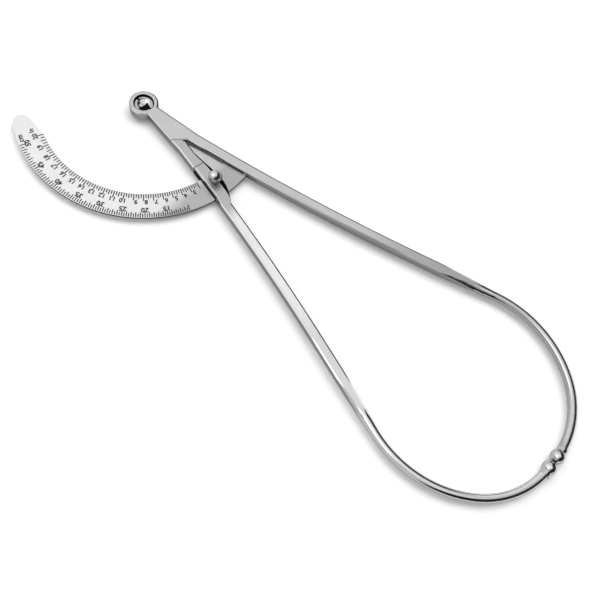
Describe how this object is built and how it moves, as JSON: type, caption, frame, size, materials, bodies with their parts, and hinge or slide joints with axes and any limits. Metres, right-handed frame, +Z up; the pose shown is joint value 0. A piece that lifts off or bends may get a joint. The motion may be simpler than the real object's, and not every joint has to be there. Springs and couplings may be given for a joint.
{
  "type": "pelvimeter",
  "caption": "Pelvimeter: two bowed steel arms with ball tips on one pivot, a graduated arc across them, a friction spring and a ball-headed clamp screw.",
  "frame": {"origin": "on the pivot axis, at the level the instrument lies on: the underside of the pivot nut", "axes": "+X along the closed instrument from the pivot to the tips, +Y towards the right arm, +Z up along the pivot axis, towards the clamp knob"},
  "size_m": [0.3663, 0.1398, 0.0157],
  "materials": {
    "arm_steel": "polished stainless steel with a light grain",
    "arc_steel": "fine satin stainless steel",
    "ball_steel": "mirror-polished stainless steel",
    "screw_steel": "turned stainless steel",
    "spring_steel": "satin spring steel",
    "pin_steel": "ground steel"
  },
  "bodies": {
    "right_half": {"right_arm": "arm_steel", "graduated_arc": "arc_steel", "arc_pins": "pin_steel", "right_tip_ball": "ball_steel"},
    "left_half": {"left_arm_head": "arm_steel", "left_arm_bar": "arm_steel", "lap_screws": "screw_steel", "slot_spacer": "pin_steel", "left_tip_ball": "ball_steel", "friction_spring": "spring_steel", "spring_pin": "pin_steel", "pivot_screw": "screw_steel", "pivot_nut": "screw_steel", "nut_washer": "pin_steel"},
    "pad": {"clamp_pad": "pin_steel"},
    "clamp": {"clamp_knob": "ball_steel", "clamp_screw": "screw_steel"}
  },
  "joints": [
    {"name": "arm_open", "type": "hinge", "parent": "right_half", "child": "left_half", "pos_m": [0, 0, 0], "axis": [0, 0, -1], "range_deg": [0, 105]},
    {"name": "pad_slide", "type": "slide", "parent": "left_half", "child": "pad", "axis": [0, 0, 1], "range_m": [0, 0.0005]},
    {"name": "clamp_turn", "type": "hinge", "parent": "pad", "child": "clamp", "pos_m": [0.06794, -0.00794, 0.0116], "axis": [0, 0, 1], "range_deg": [0, 360]}
  ],
  "couplings": [
    {"joint": "clamp_turn", "follows": "pad_slide", "rad_per_m": 12566}
  ]
}
